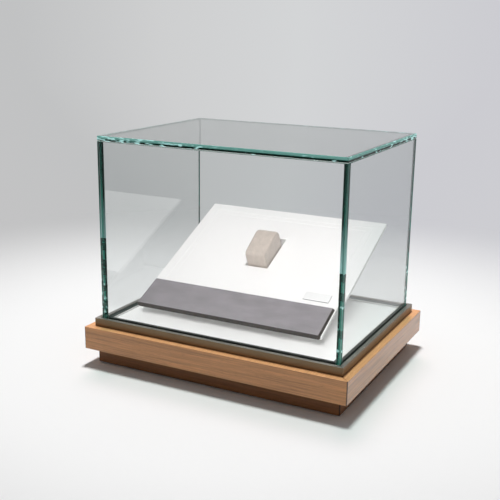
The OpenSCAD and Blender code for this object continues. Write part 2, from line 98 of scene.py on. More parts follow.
class CaseSizes(bpy.types.PropertyGroup):
    """Small sizes of the case's finish. The large ones come from the frame."""

    wood_arris: size("Wood arris", "Radius of the eased edges of the wood", 0.7 * MM)
    wood_joint: size("Wood joint", "Half the open line at a mitre of the wood", 0.14 * MM)
    metal_arris: size("Metal arris", "Radius of the eased edges of the metal frame", 0.35 * MM)
    metal_joint: size("Metal joint", "Half the open line at a mitre of the metal", 0.05 * MM)
    channel_floor: size("Channel floor", "Thickness of the metal channel's floor", 2 * MM)
    channel_wall: size("Channel wall", "Thickness of the metal channel's inner wall", 3 * MM)
    rubber_side: size("Rubber side", "Thickness of the rubber outside the glass", 1.5 * MM)
    rubber_flange: size("Rubber flange", "Thickness of the rubber over the inner wall", 1 * MM)
    rubber_drop: size("Rubber drop", "How much lower the outer lip is than the flange", 0.6 * MM)
    rubber_arris: size("Rubber arris", "Radius of the eased edges of the rubber", 0.2 * MM)
    glass_arris: size("Glass arris", "Width of the ground arrises of the glass", 0.8 * MM)
    glass_bond: size("Glass bond", "Half the thickness of the bond between two panes", 0.03 * MM)
    deck_arris: size("Deck arris", "Radius of the eased edges of the deck", 0.5 * MM)
    board_arris: size("Board arris", "Radius of the eased edges of the ramp's board", 0.18 * MM)
    label_arris: size("Label arris", "Radius of the eased edges of the label plate", 0.12 * MM)
    band_arris: size("Band arris", "Radius of the band's turned edges", 0.7 * MM)
    band_slope: size("Band slope", "Width of the sloped rim at the band's ends", 2.6 * MM)
    band_corner: size("Band corner", "Radius of the lower corners of the band's skirt", 4.5 * MM)
    cushion_front: size("Cushion front", "Height of the cushion's front edge", 41.4 * MM)
    cushion_back: size("Cushion back", "Height of the cushion's back edge", 51.4 * MM)
    cushion_crown: size("Cushion crown", "Furthest that the cushion stands out of its outline", 1.2 * MM)
    cushion_swell: size("Cushion swell", "Furthest that the filling pushes the cover out", 0.9 * MM)
    cushion_shoulder: size("Cushion shoulder", "Radius between the cushion's top and sides", 3.4 * MM)
    seam_depth: size("Seam depth", "Depth of the cushion's seams", 0.35 * MM)


class CaseColours(bpy.types.PropertyGroup):
    """Colours of the case's finishes."""

    wood: colour("Slab wood", "Edge of the slab", (0.505, 0.225, 0.074))
    # Slab top: a lighter copy of the slab's wood for its top faces, painted light from above.
    wood_top_painted_light: colour("Slab top", "Top veneer of the slab", (0.90, 0.425, 0.19))
    # Plinth wood: a darker copy of the slab's wood, painted shade under the slab's overhang.
    wood_plinth_painted_shade: colour("Plinth wood", "Plinth under the slab", (0.175, 0.068, 0.021))
    bronze: colour("Bronze", "Metal frame", (0.185, 0.134, 0.080))
    # Bronze top: a lighter copy of the bronze for the rails' top face, a painted highlight.
    bronze_painted_highlight: colour("Bronze top", "Bright top of the metal frame", (0.27, 0.25, 0.22))
    rubber: colour("Rubber", "Gasket", (0.065, 0.07, 0.067))
    deck: colour("Deck", "Deck panel", (0.90, 0.90, 0.89))
    board: colour("Board", "Cover of the ramp's board", (0.85, 0.845, 0.835))
    band: colour("Band", "Cover of the front band", (0.213, 0.197, 0.210))
    # Band edge: near black on the band's sides and skirt front, painted shade for the leather in shadow.
    band_painted_shade: colour("Band edge", "Raw edge of the front band", (0.022, 0.016, 0.012))
    label: colour("Label", "Label plate", (0.75, 0.75, 0.745))
    cushion: colour("Cushion", "Cushion cover", (0.52, 0.458, 0.405))
    glass: colour("Glass", "What a pane's thickness of the glass lets through", (0.95, 0.984, 0.977))
    pane: colour("Pane", "Tint of a pane's faces", (0.945, 0.923, 0.93))
    glass_edge: colour("Glass edge", "Deep colour of the glass, seen along a pane", (0.003, 0.036, 0.026))
    glass_light: colour("Glass light", "Light caught in the edge of a pane", (0.49, 0.86, 0.83))
    floor: colour("Floor", "Floor near the case", (0.92, 0.92, 0.92))


def sizes():
    """The sizes as they are set in the scene."""
    return bpy.context.scene.case_sizes


def colours():
    """The colours as they are set in the scene."""
    return bpy.context.scene.case_colours


# Shader maths as expressions

def math_node(operation, swapped=False):
    """A method of Wire, which gives the result of a Math node on the wire and another value."""
    def method(wire, *others):
        values = (*others, wire) if swapped else (wire, *others)
        return add(wire.socket.id_data, "Math", {"operation": operation}, dict(enumerate(values)))[0]
    return method


class Wire:
    """A shader socket. Arithmetic on wires and numbers adds Math nodes to the wire's tree. Either is
    the greater of two, which joins masks, and whole is the whole number just below."""

    def __init__(self, socket):
        self.socket = socket

    __add__ = __radd__ = math_node("ADD")
    __sub__ = math_node("SUBTRACT")
    __rsub__ = math_node("SUBTRACT", swapped=True)
    __mul__ = __rmul__ = math_node("MULTIPLY")
    __truediv__ = math_node("DIVIDE")
    __gt__ = math_node("GREATER_THAN")
    __lt__ = math_node("LESS_THAN")
    __abs__ = math_node("ABSOLUTE")
    either = math_node("MAXIMUM")
    whole = math_node("FLOOR")


class Made:
    """A node that was added, which gives its outputs as wires by name or number."""

    def __init__(self, node):
        self.node = node

    def __getitem__(self, key):
        return Wire(self.node.outputs[key])


def add(tree, kind, settings=None, inputs=None):
    """Adds a shader node: its settings are set first, then its sockets take values or links."""
    node = tree.nodes.new("ShaderNode" + kind)
    for name, value in (settings or {}).items():
        if name == "stops":
            set_stops(node.color_ramp, value)
        else:
            setattr(node, name, value)
    for key, value in (inputs or {}).items():
        if isinstance(value, Wire):
            tree.links.new(value.socket, node.inputs[key])
        else:
            node.inputs[key].default_value = value
    return Made(node)


def set_stops(ramp, stops):
    """Gives a colour ramp its stops, each a place and a colour."""
    while len(ramp.elements) > 1:
        ramp.elements.remove(ramp.elements[-1])
    for i, (place, rgb) in enumerate(stops):
        element = ramp.elements[0] if i == 0 else ramp.elements.new(place)
        element.position = place
        element.color = solid(rgb)


def solid(rgb):
    """A colour with its alpha."""
    return (*rgb, 1.0)


def shade(rgb, factor):
    """A colour made lighter or darker."""
    return tuple(min(channel * factor, 1.0) for channel in rgb)


def times(tree, vector, factors):
    """A vector times a number for each axis."""
    return add(tree, "VectorMath", {"operation": "MULTIPLY"}, {0: vector, 1: factors})[0]


def object_point(tree, cells=1.0):
    """The place on the object, counted in cells: so many to a metre, alike or for each axis."""
    cells = cells if isinstance(cells, tuple) else (cells,) * 3
    return times(tree, add(tree, "TexCoord")["Object"], cells)


def grain_point(tree, along, across):
    """The place on the piece's own map, counted in cells: so many to a metre along the grain and
    across it."""
    return times(tree, add(tree, "UVMap", {"uv_map": "grain"})[0], (along, across, 1))


def parts(tree, vector):
    """A vector's X, Y and Z."""
    return add(tree, "SeparateXYZ", None, {0: vector})


def noise(tree, point, detail=3.0, roughness=0.5, distortion=0.0):
    """Noise between 0 and 1, with cells one unit of the point across."""
    values = {"Vector": point, "Scale": 1.0, "Detail": detail, "Roughness": roughness,
              "Distortion": distortion}
    return add(tree, "TexNoise", None, values)["Fac"]


def spread(tree, value, low, high, start=0.0, end=1.0):
    """A value from start to end as another goes from low to high."""
    inputs = {"Value": value, "From Min": low, "From Max": high, "To Min": start, "To Max": end}
    return add(tree, "MapRange", {"clamp": True}, inputs)[0]


def ranged(tree, value, start=0.0, end=1.0):
    """From start to end over the middle range, which holds nearly all of a noise's values."""
    return spread(tree, value, 0.3, 0.7, start, end)


def mixed(tree, factor, first, second):
    """A mix of two colours."""
    return add(tree, "Mix", {"data_type": "RGBA"}, {0: factor, 6: first, 7: second})[2]


def toned(tree, share, tint, dark, light):
    """A tint between a darker and a lighter shade of it, by a share."""
    return mixed(tree, share, solid(shade(tint, dark)), solid(shade(tint, light)))


def bumped(tree, height, distance, strength=1.0):
    """A normal from a height between 0 and 1 that stands for a distance in metres."""
    inputs = {"Height": height, "Distance": distance, "Strength": strength}
    return add(tree, "Bump", None, inputs)[0]


def empty_tree(holder):
    """The node tree of a new material or world, with nothing in it."""
    holder.use_nodes = True
    holder.node_tree.nodes.clear()
    return holder.node_tree


def finish(name, fill):
    """A new material. Fill adds its nodes to the tree and returns its shader, and its volume if it
    has one."""
    material = bpy.data.materials.new(name)
    tree = empty_tree(material)
    shader = fill(tree)
    ends = shader if isinstance(shader, tuple) else (shader,)
    add(tree, "OutputMaterial", None, dict(enumerate(ends)))
    return material


def principled(tree, **values):
    """A Principled shader. Names are its sockets', with underscores for spaces."""
    inputs = {name.replace("_", " "): value for name, value in values.items()}
    return add(tree, "BsdfPrincipled", None, inputs)[0]


# Finishes

def two_tones(tint, dark, light):
    """A darker and a lighter shade of a tint."""
    return shade(tint, dark), shade(tint, light)


def clouded(name, tones, cloud, close=None, rough=0.5, depth=0.0, patchy=False, **rest):
    """A finish whose colour goes between two tones by one noise, its cloud. Its roughness and its
    height go by a close noise, or by the cloud if there is none. A noise is given as its cells to a
    metre, its detail and its roughness, and rough as one value or two bounds. A patchy cloud lies
    clearly in patches."""
    def fill(tree):
        wide = noise(tree, object_point(tree, cloud[0]), *cloud[1:])
        fine = noise(tree, object_point(tree, close[0]), *close[1:]) if close else wide
        if depth:
            rest["Normal"] = bumped(tree, fine, depth)
        share = ranged(tree, wide) if patchy else wide
        return principled(tree, Base_Color=mixed(tree, share, solid(tones[0]), solid(tones[1])),
                          Roughness=ranged(tree, fine, *rough) if isinstance(rough, tuple) else rough,
                          **rest)
    return finish(name, fill)


def corner_line(tree, half):
    """1 on a ring's upright mitred corners, where the two distances to the sides' planes together
    are less than the line's width. It fades over its last part."""
    width, fade = 1.7 * MM, 0.7 * MM
    place = parts(tree, object_point(tree))
    from_corner = half[0] + half[1] - abs(place["X"]) - abs(place["Y"])
    return spread(tree, from_corner, width - fade, width, 1.0, 0.0)


def wood(name, tint, half, contrast, coat=0.0):
    """Straight-grained wood: wide bands of growth, streaks and fine fibres, dark pores, and a dark
    line of lacquer at the mitred corners."""
    def fill(tree):
        bands = noise(tree, grain_point(tree, 3, 110), 2.0, 0.5, 0.3)
        streaks = noise(tree, grain_point(tree, 12, 420), 3.0, 0.6)
        fibres = noise(tree, grain_point(tree, 40, 1500), 2.0, 0.6)
        pores = noise(tree, grain_point(tree, 90, 2600), 1.0, 0.4)
        level = spread(tree, bands * 0.3 + streaks * 0.5 + fibres * 0.2, 0.36, 0.64)
        pale = toned(tree, level, tint, 1 - contrast, 1 + contrast)
        clear = spread(tree, pores, 0.26, 0.36)
        in_pore, in_line = solid(shade(tint, 0.55)), solid(shade(tint, 0.2))
        grained = mixed(tree, clear, in_pore, pale)
        base = mixed(tree, corner_line(tree, half), grained, in_line)
        normal = bumped(tree, fibres * 0.6 + clear * 0.4, 0.03 * MM, 0.6)
        return principled(tree, Base_Color=base, Roughness=ranged(tree, fibres, 0.32, 0.46),
                          Normal=normal, Specular_IOR_Level=0.3, Coat_Weight=coat,
                          Coat_Roughness=0.18)
    return finish(name, fill)


def bronze_metal(name, tint):
    """Anodised metal, brushed along each rail: fine lines in the roughness and the height."""
    def fill(tree):
        lines = noise(tree, grain_point(tree, 25, 5200), 2.0, 0.6)
        cloud = noise(tree, object_point(tree, 14), 2.0)
        return principled(tree, Base_Color=toned(tree, cloud, tint, 0.85, 1.15), Metallic=0.85,
                          Roughness=ranged(tree, lines, 0.3, 0.46),
                          Normal=bumped(tree, lines, 0.01 * MM, 0.5))
    return finish(name, fill)


def seal_rubber():
    """Black rubber with a faint bloom."""
    return clouded("seal_rubber", two_tones(colours().rubber, 0.8, 1.5), (90, 3.0),
                   rough=(0.75, 0.9), depth=0.02 * MM, Specular_IOR_Level=0.06)


def white_panel(name, tint, rough_low, rough_high, grain, depth):
    """A matte white surface with an even, very fine texture, and a cloud that is barely seen."""
    return clouded(name, two_tones(tint, 0.985, 1.01), (11, 2.0), (grain, 2.0, 0.6),
                   (rough_low, rough_high), depth)


def bonded_face(tree):
    """1 where a face of a pane is bonded to the next pane, which is where it lies inside the
    bonnet's outline but outside its hollow."""
    low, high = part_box("glass_top")
    hollow_x, hollow_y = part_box("glass_right")[0].x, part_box("glass_right")[1].y
    margin = 0.1 * MM
    place = parts(tree, object_point(tree))
    x, y, z = abs(place["X"]), abs(place["Y"]), place["Z"]
    within = (x < high.x - margin) * (y < high.y - margin) * (z < high.z - margin)
    in_glass = (x > hollow_x + margin).either(y > hollow_y + margin).either(z > low.z + margin)
    return within * in_glass * (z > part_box("glass_front")[0].z + margin)


# Colours across a pane's edge, from the inner face, 0, to the outer face, 1, with painted light and
# shade: pale arrises are painted highlights and the near-black strip is painted shade
PAINTED_EDGE_STRIPS = (
    (0.0, (0.34, 0.52, 0.48)), (0.08, (0.02, 0.10, 0.075)), (0.12, (0.001, 0.018, 0.012)),
    (0.34, (0.001, 0.018, 0.012)), (0.42, (0.055, 0.33, 0.25)), (0.88, (0.085, 0.42, 0.33)),
    (1.0, (0.36, 0.57, 0.52)),
)
# Cells to a metre of the marks along the edges
DRIFT_CELLS, TOP_SPARK_CELLS, LOW_SPARK_CELLS, BLOCK_CELLS = 26, 70, 130, 75
# Share of a painted dark block that is a gap
BLOCK_GAP = 0.09
# Heights on the uprights between which the marks, all painted light or shade, come or fade, and where the
# blocks end
BLOCKS_THICKEN = 150 * MM, 165 * MM
SPARKS_FADE = 165 * MM, 190 * MM
BLOCKS_TOP = 203 * MM
PAINTED_GLOW_FADES = 212 * MM, 272 * MM
UPRIGHTS_PAINTED_SHADE = 200 * MM, 320 * MM


def edge_tint(tree):
    """Colour of a pane's edge, by the pane's own map: metres along it, and how far across from the inner
    face, 0, to the outer face, 1. It paints the light and shade that a glass edge shows. Across lie a
    pale arris, a nearly black strip, a mid green strip and a pale arris: the arrises are painted
    highlights and the black strip painted shade. On the top's edge the green is painted paler and the
    inner face has a painted bright line, and painted mint sparkles crowd at the front left and back
    right. The uprights are painted darker upwards. Low down they have painted sparkles under short
    dark blocks of painted shade, and above these the front two have a painted glow, the right one
    most. Returns the colour, and the share of the painted sparkles and glow that is given out as
    emission."""
    mint, deep = solid(colours().glass_light), solid(shade(colours().glass_edge, 0.5))
    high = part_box("glass_top")[1]
    edge = parts(tree, add(tree, "UVMap", {"uv_map": "along_edge"})[0])
    along, across = edge["X"], edge["Y"]
    place = parts(tree, object_point(tree))
    height = place["Z"]
    on_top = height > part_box("glass_top")[0].z
    upright = 1 - on_top
    widened = across - on_top * spread(tree, across, 0.12, 0.3) * 0.1
    tint = add(tree, "ValToRGB", {"stops": PAINTED_EDGE_STRIPS}, {0: widened})["Color"]
    outer = spread(tree, widened, 0.36, 0.44)

    def along_noise(cells, across_cells, detail):
        """Noise that changes along the edge, and a little across it."""
        point = add(tree, "CombineXYZ", None, {0: along * cells, 1: across * across_cells})[0]
        return noise(tree, point, detail, 0.6)

    drift = spread(tree, along_noise(DRIFT_CELLS, 2.2, 3.0), 0.35, 0.68)
    # Painted sparkles: mint highlights that crowd at two corners of the top and lie low on the uprights.
    crowd = 1 - abs(place["X"] / high.x - place["Y"] / high.y) * 0.5
    low_down = spread(tree, height, *SPARKS_FADE, 1.0, 0.0) * upright
    glitter = along_noise(TOP_SPARK_CELLS, 2.5, 1.0) * on_top
    glitter = glitter + along_noise(LOW_SPARK_CELLS, 0.8, 1.0) * low_down
    glitter = glitter + crowd * crowd * on_top * 0.2 + low_down * 0.03
    painted_sparkle = spread(tree, glitter, 0.65, 0.74)

    # Painted shade: short dark blocks low on the uprights.
    in_blocks = along * BLOCK_CELLS
    block = in_blocks.whole()
    number = add(tree, "TexWhiteNoise", {"noise_dimensions": "1D"}, {"W": block})["Value"]
    dark = (number < spread(tree, height, *BLOCKS_THICKEN, 0.2, 0.75)) * (height < BLOCKS_TOP)
    dark = dark * upright * (in_blocks - block > BLOCK_GAP) * (0.92 - outer * 0.3)
    # Painted glow above the blocks on the front uprights, the right one most.
    glow = (height > BLOCKS_TOP) * spread(tree, height, *PAINTED_GLOW_FADES, 1.0, 0.0)
    glow = glow * ((place["X"] > 0) * 0.55 + 0.45) * (place["Y"] < 0) * (0.9 - outer * 0.6)
    # Painted highlight: the top's outer green made paler. Painted shade: the uprights darker upwards.
    # Painted highlight: a bright line at the top's inner face.
    pale = outer * on_top * (drift * 0.175 + 0.3)
    upward = spread(tree, height, *UPRIGHTS_PAINTED_SHADE, 0.0, 0.7) * upright
    line = (across < 0.11) * on_top * 0.8
    layers = ((pale, mint), (upward, deep), (glow, mint), (dark, deep), (painted_sparkle, mint),
              (line, solid((0.95, 1.0, 0.98))))
    for share, laid in layers:
        tint = mixed(tree, share, tint, laid)
    # The second value is the share of painted sparkles and glow that shines as emission.
    return tint, painted_sparkle * 0.45 + glow * 0.35


def float_glass(name, face_tint, bend, shine):
    """Clear glass, green through its length, with ground edges. The edges' colour is painted light and
    shade, and their painted sparkles and glow shine as emission. Lamps and diffuse light pass straight
    through, and so does some of the rest where two panes are bonded, because a bond hardly bends
    light. The shine is how much of the plain mirroring is left after its thin coating."""
    def fill(tree):
        edge = add(tree, "Attribute", {"attribute_name": "edge"})["Fac"]
        path = add(tree, "LightPath")
        passes = path["Is Shadow Ray"].either(path["Is Diffuse Ray"])
        passes = passes.either(bonded_face(tree) * (0.6 - edge * 0.4))
        ripple = noise(tree, object_point(tree, 55), 2.0, 0.6)
        clear = principled(tree, Base_Color=solid(face_tint), Roughness=0.0, IOR=bend,
                           Specular_Tint=solid((shine,) * 3), Transmission_Weight=1.0,
                           Normal=bumped(tree, ripple * edge, 0.35 * MM, 0.6))
        tint, light = edge_tint(tree)
        # Painted glow: the edge's sparkles and glow shine as emission in the glass light's colour.
        carried = mixed(tree, light, solid((0, 0, 0)), solid(colours().glass_light))
        ground = principled(tree, Base_Color=tint, Roughness=0.2, Specular_IOR_Level=0.12,
                            Emission_Color=carried, Emission_Strength=0.7)
        body = add(tree, "MixShader", None, {0: edge * 0.94, 1: clear, 2: ground})[0]
        through = add(tree, "BsdfTransparent", None, {"Color": solid((1.0, 0.97, 0.975))})[0]
        surface = add(tree, "MixShader", None, {0: passes, 1: body, 2: through})[0]
        low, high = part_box("glass_top")
        loss = [-math.log(channel) / (high.z - low.z) for channel in colours().glass]
        density = max(loss)
        absorbed = solid([1 - channel / density for channel in loss])
        volume = add(tree, "VolumeAbsorption", None, {"Color": absorbed, "Density": density})[0]
        return surface, volume
    return finish(name, fill)


def band_cover():
    """The band's taupe suede: a short nap that lies in patches, over a close grain."""
    return clouded("band_cover", two_tones(colours().band, 0.88, 1.12), ((32, 60, 60), 3.0, 0.55),
                   (1300, 2.0, 0.6), (0.62, 0.8), 0.06 * MM, patchy=True, Sheen_Weight=0.25,
                   Sheen_Roughness=0.5)


def band_painted_shade():
    """The band's sides and skirt front, near black: painted shade for the leather's sides in shadow."""
    return clouded("band_painted_shade", two_tones(colours().band_painted_shade, 0.8, 1.3), ((300, 900, 900), 2.0),
                   rough=(0.5, 0.7), depth=0.05 * MM)


def cushion_cover():
    """The cushion's ivory suede: a soft nap that lies in patches, over a finer grain."""
    return clouded("cushion_cover", two_tones(colours().cushion, 0.9, 1.08), ((90, 60, 60), 3.0, 0.6),
                   (1700, 2.0, 0.6), (0.7, 0.88), 0.07 * MM, patchy=True, Sheen_Weight=0.4,
                   Sheen_Roughness=0.45)


def felt():
    """Dark wool felt."""
    return clouded("felt", ((0.012, 0.012, 0.014), (0.05, 0.05, 0.055)), (900, 3.0, 0.7),
                   rough=0.95, depth=0.2 * MM)


def plywood():
    """Bare birch plywood: pale and dark plies in height, and a long faint figure."""
    def fill(tree):
        ply = 1.5 * MM
        plies = parts(tree, object_point(tree))["Z"] / (2 * ply)
        dark = plies - plies.whole() > 0.5
        figure = noise(tree, object_point(tree, (8, 220, 220)), 3.0)
        pale = mixed(tree, figure, solid((0.55, 0.40, 0.24)), solid((0.70, 0.54, 0.35)))
        base = mixed(tree, dark * 0.35, pale, solid((0.36, 0.23, 0.12)))
        return principled(tree, Base_Color=base, Roughness=0.6, Normal=bumped(tree, figure, 0.05 * MM))
    return finish("plywood", fill)


def zinc_steel():
    """Zinc-plated steel."""
    return clouded("zinc_steel", ((0.45, 0.45, 0.46), (0.62, 0.62, 0.64)), (700, 2.0),
                   rough=(0.25, 0.4), Metallic=1.0)


# Meshes

def new_object(name, data):
    """A new object in the scene."""
    made = bpy.data.objects.new(name, data)
    bpy.context.scene.collection.objects.link(made)
    return made


def read(items, attribute, width=1, kind=float):
    """An attribute of all of a mesh's points, edges, faces or corners, as an array whose rows are
    this wide."""
    values = np.zeros(len(items) * width, kind)
    items.foreach_get(attribute, values)
    return values.reshape(-1, width) if width > 1 else values


def make_mesh(name, points, faces, smooth=False):
    """A new object from an array of points and its faces, flat or smooth."""
    mesh = bpy.data.meshes.new(name)
    mesh.from_pydata(np.asarray(points, float).reshape(-1, 3).tolist(), [], [list(f) for f in faces])
    mesh.polygons.foreach_set("use_smooth", np.full(len(mesh.polygons), smooth))
    mesh.update()
    return new_object(name, mesh)


def grid_faces(rings, around):
    """Quads between neighbouring rings of points, with so many points around."""
    ring = np.arange(rings - 1)[:, None]
    point = np.arange(around)[None, :]
    after = (point + 1) % around
    corners = (ring * around + point, ring * around + after,
               (ring + 1) * around + after, (ring + 1) * around + point)
    return np.stack(np.broadcast_arrays(*corners), -1).reshape(-1, 4)


def prism(outline, low, high):
    """Points and faces of an outline carried along X. Each outline point has its own two ends."""
    count = len(outline)
    points = np.zeros((2, count, 3))
    points[:, :, 1:] = outline
    points[0, :, 0] = low
    points[1, :, 0] = high
    ends = [list(range(count))[::-1], list(range(count, 2 * count))]
    return points, list(grid_faces(2, count)) + ends


def rectangle(near, far, low, high):
    """Outline between two distances and two heights."""
    return np.array([[near, low], [far, low], [far, high], [near, high]])


def arc(middle, radius, start, end, count):
    """Points round a middle, from a start angle to an end angle in degrees."""
    angle = np.radians(np.linspace(start, end, count))
    return np.array(middle) + radius * np.column_stack([np.cos(angle), np.sin(angle)])


def turned(points, quarter_turns):
    """Points turned about Z by quarter turns from the front to another side."""
    return points @ np.array(Matrix.Rotation(quarter_turns * math.pi / 2, 3, "Z")).T


def corner_values(mesh):
    """For every face corner: its point's place and its face's normal."""
    corners = read(mesh.loops, "vertex_index", kind=np.int32)
    totals = read(mesh.polygons, "loop_total", kind=np.int32)
    normals = np.repeat(read(mesh.polygons, "normal", 3), totals, axis=0)
    return read(mesh.vertices, "co", 3)[corners], normals


def give_map(piece, name, along, across):
    """Gives a piece a map: two values for each face corner."""
    layer = piece.data.uv_layers.new(name=name)
    layer.uv.foreach_set("vector", np.column_stack([along, across]).ravel())


# A face lies flat where the upward part of its normal is more than this
LIES_FLAT = 0.7


def map_grain(piece, flat_along, offset):
    """Maps a piece in metres: along the grain, then across it. Upright faces run level. Faces that
    lie flat run along X or Y, as flat_along says. The offset gives each piece its own stretch."""
    place, normal = corner_values(piece.data)
    normal = np.abs(normal)
    flat = normal[:, 2] > LIES_FLAT
    faces_y = normal[:, 1] >= normal[:, 0]
    along = np.where(flat, place[:, flat_along], np.where(faces_y, place[:, 0], place[:, 1]))
    across = np.where(flat, place[:, 1 - flat_along], place[:, 2])
    give_map(piece, "grain", along + offset, across + 0.37 * offset)


def give_materials(piece, index):
    """Gives each face the number of its material."""
    piece.data.polygons.foreach_set("material_index", np.asarray(index, np.int32))


def ease(piece, radius, segments=3, smooth=True):
    """Rounds the piece's sharp edges, and keeps its flats flat."""
    bevel = piece.modifiers.new("eased edges", "BEVEL")
    bevel.width = radius
    bevel.segments = segments
    bevel.limit_method = "ANGLE"
    bevel.angle_limit = math.radians(30)
    bevel.harden_normals = smooth
    piece.data.polygons.foreach_set("use_smooth", np.full(len(piece.data.polygons), smooth))


def place_piece(piece, body, slot, materials, node):
    """Gives a piece its materials and its body, and hides the node that it stands for. The slot is not
    used.
    """
    for material in materials:
        piece.data.materials.append(material)
    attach(piece, body)
    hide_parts(node)


def dress(nodes, material):
    """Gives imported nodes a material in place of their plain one."""
    for name in nodes:
        for holder in frame["nodes"][name].material_slots:
            holder.material = material


def half_sizes(stem):
    """Half the width and half the depth of a ring of rails."""
    low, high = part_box(stem + "_front")
    return high.x, -low.y


def rails(stem, ending, outline, joint):
    """The four mitred rails of a ring: each one's node, its quarter turns from the front, and its
    piece. The outline gives distances in from the ring's outer face and heights. It is carried along
    the side to the mitres, less the joint, and turned to its side."""
    half = half_sizes(stem)
    for turns, side in enumerate(SIDES):
        node = stem + "_" + side
        long_half, off = half if turns % 2 == 0 else half[::-1]
        reach = long_half - outline[:, 0] - joint
        across = np.column_stack([outline[:, 0] - off, outline[:, 1]])
        points, faces = prism(across, -reach, reach)
        yield node, turns, make_mesh(node + "_" + ending, turned(points, turns), faces)


# The wooden base

def slab_outline():
    """Outline of a slab rail with the groove for the core's tongue, as in the frame."""
    low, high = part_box("base_rail_front")
    core_low, core_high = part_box("base_core")
    width = high.y - low.y
    tongue = core_high.x - (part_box("base_rail_right")[1].x - width)
    middle = (core_low.z + core_high.z) / 2
    half = (core_high.z - core_low.z) / 6
    return np.array([
        [0, low.z], [width, low.z], [width, middle - half], [width - tongue, middle - half],
        [width - tongue, middle + half], [width, middle + half], [width, high.z], [0, high.z],
    ])


def build_base():
    """The slab's and the plinth's rails, mitred, with eased edges and their own stretch of grain. The
    slab's top faces take a lighter copy of its wood, painted light from above, and the plinth a darker
    copy, painted shade under the slab.
    """
    slab, plinth = half_sizes("base_rail"), half_sizes("plinth_rail")
    edge = wood("slab_wood", colours().wood, slab, contrast=0.34, coat=0.8)
    top = wood("slab_top_painted_light", colours().wood_top_painted_light, slab, contrast=0.2)
    # The plinth's darker copy of the wood is painted shade under the slab.
    dark = wood("plinth_wood", colours().wood_plinth_painted_shade, plinth, contrast=0.35)
    low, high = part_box("plinth_rail_front")
    plinth_outline = rectangle(0, high.y - low.y, low.z, high.z)
    rings = (("base_rail", "base_wood", slab_outline(), (edge, top)),
             ("plinth_rail", "plinth_wood", plinth_outline, (dark,)))
    for stem, slot, outline, materials in rings:
        for node, turns, piece in rails(stem, "wood", outline, sizes().wood_joint):
            stretch = 0.61 * turns + len(stem)
            map_grain(piece, 1, stretch)
            # The top faces take the lighter copy of the wood: painted light from above.
            if len(materials) > 1:
                give_materials(piece, read(piece.data.polygons, "normal", 3)[:, 2] > LIES_FLAT)
            ease(piece, sizes().wood_arris)
            place_piece(piece, BASE_BODY, slot, materials, node)
    dress(["base_core", "base_splines", "plinth_corner_blocks"], plywood())
    dress(["plinth_screws"], zinc_steel())
    dress(["foot_pads"], felt())


# The metal frame, its gasket and the deck

def build_frame():
    """The channel of the metal frame and its screws. The four mitred rails have a painted highlight on
    their top face, and an inner wall that is white towards the deck with a dark top."""
    metal = bronze_metal("bronze_metal", colours().bronze)
    # The lighter bronze for the rails' top face is a painted highlight.
    bright = bronze_metal("bronze_painted_highlight", colours().bronze_painted_highlight)
    white = white_panel("channel_white", colours().deck, 0.4, 0.5, 1500, 0.01 * MM)
    dark = seal_rubber()
    low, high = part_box("frame_rail_front")
    width = high.y - low.y
    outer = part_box("gasket_front")[0].y - low.y
    inner = width - sizes().channel_wall
    floor = low.z + sizes().channel_floor
    wall_top = high.z - sizes().rubber_flange
    outline = np.array([
        [0, low.z], [width, low.z], [width, wall_top], [inner, wall_top], [inner, floor],
        [outer, floor], [outer, high.z], [0, high.z],
    ])
    to_deck, top_of_wall, top_of_rail = 1, 2, 6
    for node, turns, piece in rails("frame_rail", "metal", outline, sizes().metal_joint):
        stretch = 0.53 * turns
        map_grain(piece, turns % 2, stretch)
        index = np.zeros(len(piece.data.polygons))
        index[[to_deck, top_of_wall, top_of_rail]] = 1, 2, 3
        give_materials(piece, index)
        ease(piece, sizes().metal_arris)
        place_piece(piece, BASE_BODY, "bronze_frame", (metal, white, dark, bright), node)
    dress(["frame_screws"], zinc_steel())


def build_gasket():
    """The rubber channel round the glass: an outer lip with a round top, and an inner flange."""
    rubber = seal_rubber()
    low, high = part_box("gasket_front")
    glass_low, glass_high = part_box("glass_front")
    width = high.y - low.y
    side = sizes().rubber_side
    inside = glass_high.y - low.y + (glass_low.y - low.y - side)
    channel = width - sizes().channel_wall
    flange = high.z - sizes().rubber_flange
    lip = arc((side / 2, high.z - sizes().rubber_drop - side / 2), side / 2, 0, 180, 7)
    outline = np.vstack([
        [[0, low.z], [channel, low.z], [channel, flange], [width, flange], [width, high.z],
         [inside, high.z], [inside, glass_low.z], [side, glass_low.z]],
        lip,
    ])
    for node, _, piece in rails("gasket", "rubber", outline, 0.0):
        ease(piece, sizes().rubber_arris, 2)
        place_piece(piece, BASE_BODY, "gasket_rubber", (rubber,), node)


def build_deck():
    """The white deck panel."""
    low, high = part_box("deck_panel")
    points, faces = prism(rectangle(low.y, high.y, low.z, high.z), low.x, high.x)
    piece = make_mesh("deck_laminate", points, faces)
    ease(piece, sizes().deck_arris)
    material = white_panel("deck_laminate", colours().deck, 0.38, 0.5, 1500, 0.01 * MM)
    place_piece(piece, BASE_BODY, "deck_white", (material,), "deck_panel")


# The glass

def plate(low, high, chamfer):
    """A flat plate with chamfered edges, as four octagon rings: one drawn in at the bottom, two at
    full size and one drawn in at the top. The chamfer cuts their corners too. The last two faces
    close the ends."""
    rings = []
    for inset, height in ((chamfer, low[2]), (0, low[2] + chamfer), (0, high[2] - chamfer),
                          (chamfer, high[2])):
        x0, y0 = low[:2] + inset
        x1, y1 = high[:2] - inset
        xs = (x0 + chamfer, x1 - chamfer, x1, x1, x1 - chamfer, x0 + chamfer, x0, x0)
        ys = (y0, y0, y0 + chamfer, y1 - chamfer, y1, y1, y1 - chamfer, y0 + chamfer)
        rings.append(np.column_stack([xs, ys, np.full(8, height)]))
    return np.array(rings), [*grid_faces(4, 8), list(range(8))[::-1], list(range(24, 32))]


